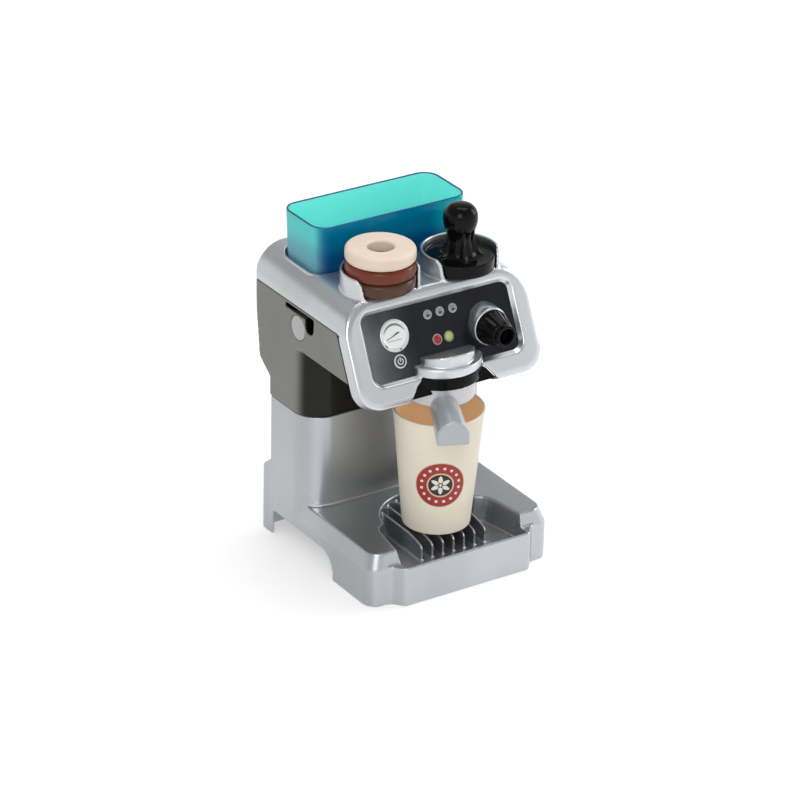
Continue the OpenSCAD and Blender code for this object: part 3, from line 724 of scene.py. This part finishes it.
def make_knob():
    """Ribbed bell that narrows to a tube with a blind hole, turning about -y."""
    boss, tip = BOSS_Y, KNOB_TIP_Y
    place = at(KNOB_X, 0, KNOB_Z) @ Matrix.Rotation(math.radians(90), 4, "X")
    foot, end = -boss, -tip
    profile = fillet([(0, 34.3 * MM), (13 * MM, 34.3 * MM, 0.5 * MM), (13 * MM, foot + 0.4 * MM, 0.4 * MM),
                      (14.5 * MM, foot + 0.6 * MM, 0.6 * MM), (14.4 * MM, foot + 2.6 * MM, 0.8 * MM),
                      (12.6 * MM, foot + 7 * MM, 3 * MM), (11.0 * MM, foot + 13 * MM, 3 * MM),
                      (9.9 * MM, end - 5.4 * MM, 1.6 * MM), (8.9 * MM, end - 4.4 * MM, 1 * MM),
                      (8.9 * MM, end, 0.7 * MM), (6.5 * MM, end, 0.7 * MM),
                      (6.3 * MM, end - 8.8 * MM, 0.4 * MM), (0, end - 8.8 * MM)], 1 * MM, 6)

    def ribbed(r, z, angle):
        rise = min(1.0, max(0.0, (z - foot - 1.8 * MM) / (1.5 * MM)))
        fade = min(1.0, max(0.0, (end - 5.6 * MM - z) / (1.5 * MM)))
        outside = 1.0 if r > 8 * MM else 0.0
        groove = (0.5 + 0.5 * math.cos(12 * angle)) ** 1.2
        return r - rise * fade * outside * groove * 0.8 * MM

    bm = bmesh.new()
    lathe(bm, profile, place, 240, ribbed)
    add_piece("knob_bell", bm, [BLACK_GLOSS], "knob", "steam_knob", smooth_angle=50)


def tank_outside():
    """Clear plastic dyed blue-green, its colour holding painted light and shade: turquoise painted where
    light comes through one wall, deep blue painted shade across the front, darker towards the bottom, and a
    painted bright patch on the front.
    """
    s = Surface("tank_outside", 0.12, specular=0.4)
    s.shader.inputs["Transmission Weight"].default_value = 0.3
    s.shader.inputs["IOR"].default_value = 1.2
    # painted shade: the colour darkens towards the bottom of the tank
    height = s.between(s.axis("Z"), 0.230, 0.283)
    cloud = s.noise(14, 2, 0.5)
    level = s.mix(height, cloud, 0.15)
    # ends: turquoise painted as light coming through the wall
    ends = s.ramp(level, [(0.1, srgb(128, 142, 172)), (0.45, srgb(120, 186, 205)),
                          (0.85, srgb(116, 226, 226))])
    # front: deep blue painted shade for the front wall, which gets little light
    front = s.ramp(level, [(0.08, srgb(6, 34, 96)), (0.4, srgb(4, 62, 124)), (0.75, srgb(0, 104, 156)),
                           (1.0, srgb(0, 120, 166))])
    # glow: a painted patch of light on the front wall
    glow = s.times(s.between(s.axis("X"), 0.030, 0.062), s.between(s.axis("Z"), 0.246, 0.272))
    front = s.mix(front, srgb(0, 196, 206), glow)
    face = s.between(s.axis("Y"), 0.046, 0.0375)
    s.colour(s.mix(ends, front, face))
    s.rough(s.ramp(cloud, [(0.3, 0.1), (0.7, 0.16)]))
    s.bump(s.noise(50, 2, 0.5), 0.0001, 0.12)
    return s.material


def tank_inside():
    """The same plastic seen with the light behind it, painted as lit: bright turquoise that also glows,
    painted light standing in for the light behind it.
    """
    s = Surface("tank_inside", 0.3, specular=0.3)
    s.shader.inputs["Transmission Weight"].default_value = 0.35
    s.shader.inputs["IOR"].default_value = 1.2
    cloud = s.noise(12, 2, 0.5)
    s.colour(s.ramp(cloud, [(0.3, srgb(112, 230, 218)), (0.7, srgb(124, 236, 226))]))
    s.rough(s.ramp(cloud, [(0.3, 0.28), (0.7, 0.34)]))
    # painted light: the inside glows turquoise
    s.shader.inputs["Emission Color"].default_value = (*srgb(112, 230, 218), 1)
    s.shader.inputs["Emission Strength"].default_value = 0.2
    return s.material


def tank_rim():
    s = Surface("tank_rim", 0.12, specular=0.5)
    cloud = s.noise(30, 2, 0.5)
    s.colour(s.ramp(cloud, [(0.3, srgb(0, 84, 132)), (0.7, srgb(8, 104, 150))]))
    s.bump(s.noise(60, 2, 0.5), 0.00005, 0.2)
    return s.material


def make_tank():
    """Open box with drafted walls, round corners and a rolled rim."""
    low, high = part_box("water_tank")
    outer_x, y0, y1 = high.x, low.y, high.y
    height, floor, wall = high.z - low.z, 2.2 * MM, 2.0 * MM
    draft = 1.6 * MM

    def section(z, inset, r):
        sink = draft * (1 - z / height)
        shape = round_box(outer_x - inset - sink, y0 + inset + sink, y1 - inset - sink, r, 10)
        return [Vector((x, y, low.z + z)) for x, y in shape]

    corner = 13 * MM
    sections = [section(0, 3.0 * MM, corner - 3 * MM), section(0.5 * MM, 1.4 * MM, corner - 1.6 * MM),
                section(1.6 * MM, 0.4 * MM, corner - 0.6 * MM), section(3.2 * MM, 0, corner)]
    sections += [section(height * k / 6, 0, corner) for k in range(1, 6)]
    sections += [section(height - 0.8 * MM, 0, corner), section(height - 0.2 * MM, 0.25 * MM, corner),
                 section(height, 0.8 * MM, corner - 0.6 * MM),
                 section(height - 0.1 * MM, 1.5 * MM, corner - 1.4 * MM),
                 section(height - 0.7 * MM, wall, corner - wall)]
    rim = len(sections) - 5
    inner = len(sections) - 1
    sections += [section(height * k / 6, wall, corner - wall) for k in range(5, 0, -1)]
    sections += [section(floor + 2.4 * MM, wall, corner - wall),
                 section(floor + 0.6 * MM, wall + 0.8 * MM, corner - wall - 1 * MM),
                 section(floor, wall + 2.6 * MM, corner - wall - 3 * MM)]
    bm = bmesh.new()
    rings = loft(bm, sections)
    bm.faces.new(rings[0]).material_index = 0
    bm.faces.new(rings[-1]).material_index = 1
    for face in bm.faces:
        if len(face.verts) != 4:
            continue
        span = min(next(k for k, ring in enumerate(rings) if vert in ring) for vert in face.verts)
        face.material_index = 0 if span < rim else 2 if span < inner else 1
    skins = [tank_outside(), tank_inside(), tank_rim()]
    add_piece("tank_body", bm, skins, "tank", "water_tank", smooth_angle=50)


def handle_section(y, x, z0, z1):
    """D shape: flat floor with rounded corners, sides and an arched top."""
    out = []
    corner = 2.2 * MM
    arch = x * 0.98
    spring = z1 - arch
    for i in range(9):
        angle = math.radians(180 + 90 * i / 8)
        out.append((-x + corner + corner * math.cos(angle), z0 + corner + corner * math.sin(angle)))
    for i in range(9):
        angle = math.radians(270 + 90 * i / 8)
        out.append((x - corner + corner * math.cos(angle), z0 + corner + corner * math.sin(angle)))
    for i in range(25):
        angle = math.radians(180 * i / 24)
        out.append((x * math.cos(angle), spring + arch * math.sin(angle)))
    return [Vector((px, y, pz)) for px, pz in out]


def make_handle():
    """Grip of the portafilter, from the bowl to its flat end with a rounded edge."""
    place = at(0, BREW_Y, 0) @ Matrix.Rotation(-HANDLE_ANGLE, 4, "Z")
    start, end = 27.9 * MM, HANDLE_END
    x0, x1 = 11.6 * MM, 12.8 * MM
    low0, low1 = 152.6 * MM, 144.6 * MM
    high0, high1 = 164.4 * MM, 164.9 * MM
    sections = []
    for k in range(13):
        t = k / 12
        sections.append(handle_section(-(start + (end - 2 * MM - start) * t), x0 + (x1 - x0) * t,
                                       low0 + (low1 - low0) * t, high0 + (high1 - high0) * t))
    edge = 1.6 * MM
    for k in range(1, 6):
        a = math.radians(90 * k / 5)
        inset, out = edge * (1 - math.cos(a)), edge * math.sin(a)
        sections.append(handle_section(-(end - 2 * MM + out), x1 - inset, low1 + inset, high1 - inset))
    bm = bmesh.new()
    loft(bm, [[place @ p for p in section] for section in sections], cap_ends=True)
    add_piece("handle_grip", bm, [HANDLE_GREY], "portafilter", "portafilter_handle", smooth_angle=50)


def on_panel(x, v, lift):
    """A point of the control panel: x across, v up the panel, lift out of it."""
    return PANEL_ORIGIN + Vector((x, 0, 0)) + PANEL_UP * v + PANEL_OUT * lift


def panel_patch(bm, outline, lift, slot):
    """Flat printed patch with its outline in panel coordinates."""
    face = bm.faces.new([bm.verts.new(on_panel(x, v, lift)) for x, v in outline])
    face.material_index = slot
    return face


def panel_ring(bm, centre, levels, slot, turns=64):
    """Round printed or raised form: levels are (radius, lift) from the outside inwards."""
    rings = []
    for radius, lift in levels:
        rings.append([bm.verts.new(on_panel(centre[0] + radius * math.cos(math.tau * i / turns),
                                            centre[1] + radius * math.sin(math.tau * i / turns), lift))
                      for i in range(turns)])
    for outer, inner in zip(rings, rings[1:]):
        for i in range(turns):
            j = (i + 1) % turns
            bm.faces.new((outer[i], outer[j], inner[j], inner[i])).material_index = slot
    return rings[-1]


def panel_disc(bm, centre, levels, slot, turns=64):
    bm.faces.new(panel_ring(bm, centre, levels, slot, turns)).material_index = slot


def bar(start, end, width):
    """Outline of a straight stroke."""
    a, b = Vector(start), Vector(end)
    side = Vector((-(b - a).y, (b - a).x)).normalized() * width / 2
    return [tuple(a - side), tuple(b - side), tuple(b + side), tuple(a + side)]


def arc_band(centre, r0, r1, a0, a1, steps=40):
    """Outline of a curved stroke between two radii; the ends may be as thin as the radii say."""
    out = []
    for radius, angles in ((r1, range(steps + 1)), (r0, range(steps, -1, -1))):
        for i in angles:
            angle = math.radians(a0 + (a1 - a0) * i / steps)
            r = radius(i / steps) if callable(radius) else radius
            out.append((centre[0] + r * math.cos(angle), centre[1] + r * math.sin(angle)))
    return out


def split_band(bm, outline, lift, slot):
    """Fills a curved stroke quad by quad."""
    half = len(outline) // 2
    points = [bm.verts.new(on_panel(x, v, lift)) for x, v in outline]
    for i in range(half - 1):
        quad = (points[i], points[i + 1], points[-2 - i], points[-1 - i])
        bm.faces.new(quad).material_index = slot


def make_panel_prints():
    """Gauge, power sign, three round signs and two lamps, each a thin form on the film."""
    chrome = silver_plastic("print_silver", srgb(226, 229, 230), 0.3, 0.4, 0.4)
    dim = silver_plastic("print_dim_silver", srgb(166, 169, 171), 0.3, 0.6, 0.4)
    dial = satin_plastic("dial_white", srgb(240, 244, 242), 0.4, 0.02)
    green = satin_plastic("dial_green", srgb(112, 142, 122), 0.45, 0.10)
    ink = satin_plastic("print_ink", srgb(62, 64, 66), 0.45, 0.08)
    grey = satin_plastic("print_grey", srgb(150, 152, 154), 0.45, 0.06)
    red = gloss_plastic("lamp_red", srgb(164, 46, 28), 0.1, 0.02, 0.5)
    pink = satin_plastic("lamp_ring_pink", srgb(184, 142, 148), 0.35, 0.05)
    lime = gloss_plastic("lamp_green", srgb(190, 204, 120), 0.1, 0.02, 0.5)
    olive = satin_plastic("lamp_ring_grey", srgb(142, 148, 126), 0.35, 0.05)

    centre = (-41.6 * MM, -20.2 * MM)
    bm = bmesh.new()
    panel_ring(bm, centre, [(13.0 * MM, 0), (12.8 * MM, 0.3 * MM), (12.0 * MM, 0.6 * MM),
                            (10.8 * MM, 0.5 * MM), (10.0 * MM, 0.12 * MM)], 0)
    panel_disc(bm, centre, [(10.1 * MM, 0.12 * MM), (5 * MM, 0.12 * MM), (1 * MM, 0.12 * MM)], 1)

    def inner_edge(t):
        return (9.8 - 2.0 * math.sin(math.pi * t) ** 0.7) * MM

    split_band(bm, arc_band(centre, inner_edge, 9.8 * MM, 14, 166), 0.17 * MM, 2)
    x, v = centre
    panel_patch(bm, bar((x - 7.8 * MM, v - 2.2 * MM), (x + 5.0 * MM, v + 1.8 * MM), 0.6 * MM), 0.22 * MM, 3)
    panel_patch(bm, bar((x - 1.6 * MM, v - 0.3 * MM), (x + 3.6 * MM, v + 2.1 * MM), 1.0 * MM), 0.25 * MM, 3)
    panel_patch(bm, bar((x - 6.6 * MM, v - 3.8 * MM), (x + 5.8 * MM, v - 3.8 * MM), 0.45 * MM), 0.22 * MM, 4)
    for angle, width in ((215, 12), (222, 5), (283, 8)):
        mark = arc_band(centre, 11.1 * MM, 12.1 * MM, angle - width / 2, angle + width / 2, 6)
        split_band(bm, mark, 0.68 * MM, 3)
    add_piece("panel_gauge", bm, [chrome, dial, green, ink, grey], "machine", slot="panel_film")

    centre = (-41.6 * MM, -40.7 * MM)
    bm = bmesh.new()
    panel_disc(bm, centre, [(5.6 * MM, 0), (5.4 * MM, 0.3 * MM), (4.8 * MM, 0.4 * MM),
                            (1 * MM, 0.4 * MM)], 0)
    panel_disc(bm, centre, [(4.5 * MM, 0.46 * MM), (1 * MM, 0.46 * MM)], 1)
    split_band(bm, arc_band(centre, 1.9 * MM, 2.7 * MM, 125, 415, 40), 0.5 * MM, 2)
    x, v = centre
    panel_patch(bm, bar((x, v - 0.2 * MM), (x, v + 3.3 * MM), 0.9 * MM), 0.52 * MM, 2)
    add_piece("panel_power", bm, [chrome, ink, chrome], "machine", slot="panel_film")

    bm = bmesh.new()
    for index, (x, v) in enumerate(((-8.5, -10.7), (3.0, -10.6), (15.0, -10.6))):
        x, v = x * MM, v * MM
        panel_disc(bm, (x, v), [(3.9 * MM, 0), (3.7 * MM, 0.25 * MM), (2.9 * MM, 0.36 * MM),
                                (1 * MM, 0.4 * MM)], 0)
        mug = [(x - 1.8 * MM, v + 0.2 * MM), (x - 1.4 * MM, v - 2.1 * MM), (x + 1.0 * MM, v - 2.1 * MM),
               (x + 1.4 * MM, v + 0.2 * MM)]
        panel_patch(bm, mug, 0.46 * MM, 1)
        ear = arc_band((x + 1.5 * MM, v - 0.8 * MM), 0.4 * MM, 0.9 * MM, -110, 110, 12)
        split_band(bm, ear, 0.46 * MM, 1)
        for k in range(index + 1):
            spot = (x + (k - index / 2) * 1.4 * MM, v + 1.5 * MM)
            panel_disc(bm, spot, [(0.5 * MM, 0.46 * MM), (0.1 * MM, 0.46 * MM)], 1, 12)
    add_piece("panel_signs", bm, [dim, ink], "machine", slot="panel_film")

    for name, x, v, ring, lens in (("red", -4.7, -31.5, pink, red), ("green", 6.2, -31.4, olive, lime)):
        bm = bmesh.new()
        spot = (x * MM, v * MM)
        panel_ring(bm, spot, [(4.4 * MM, 0), (4.2 * MM, 0.3 * MM), (3.5 * MM, 0.35 * MM),
                              (3.3 * MM, 0.1 * MM)], 0)
        dome = [(3.35 * MM * math.cos(t), (0.1 + 1.1 * math.sin(t)) * MM)
                for t in (math.radians(9 * k) for k in range(10))]
        panel_disc(bm, spot, dome[:-1] + [(0.2 * MM, 1.2 * MM)], 1)
        add_piece(f"panel_lamp_{name}", bm, [ring, lens], "machine", slot="panel_film")


make_camera()
make_light()
make_floor()
for node in NODES:
    paint(node, SILVER)
for node, material in {"upper_housing": DARK_GLOSS, "top_cover": COVER_SILVER, "well_walls": COVER_SILVER,
                       "control_panel": film_plastic(),
                       "group_collar": COLLAR_BLACK, "side_plugs": PLUG_GREY, "steam_knob": BLACK_GLOSS,
                       "portafilter_basket": BOWL_SILVER, "portafilter_handle": HANDLE_GREY,
                       "tamper_base": BLACK_GLOSS, "tamper_knob": BLACK_GLOSS, "pad_top": PAD_CREAM,
                       "pad_middle": PAD_RED, "pad_bottom": PAD_DARK, "cup": CUP_CREAM,
                       "base_screws": STEEL, "cover_screws": STEEL, "collar_screws": STEEL,
                       "knob_screw": STEEL, "knob_washer": STEEL, "handle_screw": STEEL}.items():
    paint(node, material)
moulded("base_moulding", ["base_housing"], "machine", SILVER, 0.85 * MM, 4, 1)
moulded("housing_moulding", ["upper_housing"], "machine", DARK_GLOSS, 0.85 * MM, 3, 1)
moulded("cover_moulding", ["top_cover", "well_walls"], "machine", COVER_SILVER, 0.7 * MM, 4, 1)
moulded("collar_moulding", ["group_collar"], "machine", COLLAR_BLACK, 0.5 * MM, 3, 0.5)
moulded("bowl", ["portafilter_basket"], "portafilter", BOWL_SILVER, 0.5 * MM, 3, 0.5)
make_pads()
make_cup()
make_roundel()
make_tamper()
make_knob()
make_tank()
make_handle()
make_panel_prints()

bpy.context.scene.view_settings.view_transform = "Standard"
